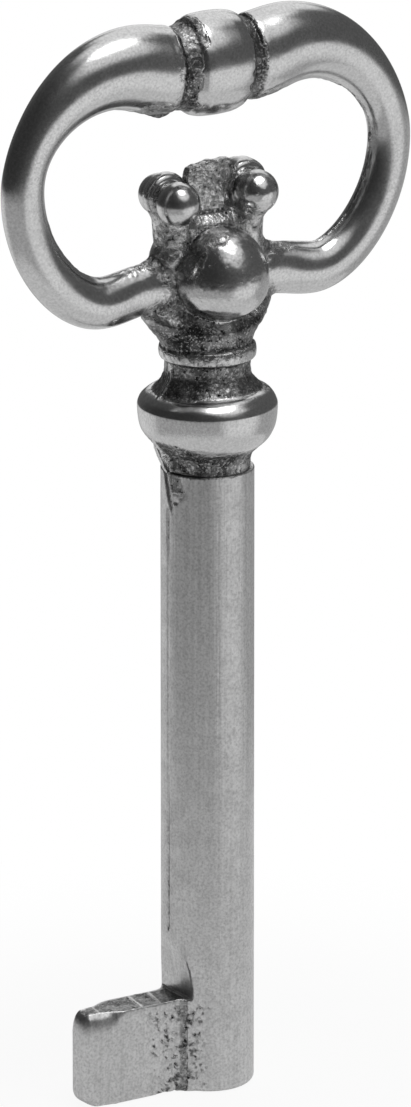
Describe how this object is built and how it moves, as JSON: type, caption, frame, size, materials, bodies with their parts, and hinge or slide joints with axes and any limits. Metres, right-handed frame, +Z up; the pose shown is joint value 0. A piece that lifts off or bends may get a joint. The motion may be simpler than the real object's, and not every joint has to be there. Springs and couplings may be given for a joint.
{
  "type": "furniture key",
  "caption": "Cast furniture key: ring bow with a crown bead and a scrolled head, bulged collar, drilled round shank and a short flat bit.",
  "frame": {"origin": "on the shank's axis, in the flat end of its tip", "axes": "+Z up the shank to the bow, XZ the plane of the bow, -X the side of the bit, -Y the front"},
  "size_m": [0.0328, 0.0106, 0.077],
  "materials": {
    "satin_steel": "worn satin, drawn along the shank",
    "polished_steel": "hand polished, aged",
    "cast_steel": "as cast in the crevices, polished on the high places"
  },
  "bodies": {
    "root": {"shank": "satin_steel", "bit": "satin_steel", "collar": "polished_steel", "bow_head": "cast_steel", "left_bow_arm": "polished_steel", "right_bow_arm": "polished_steel", "crown_bead": "polished_steel"}
  },
  "joints": []
}
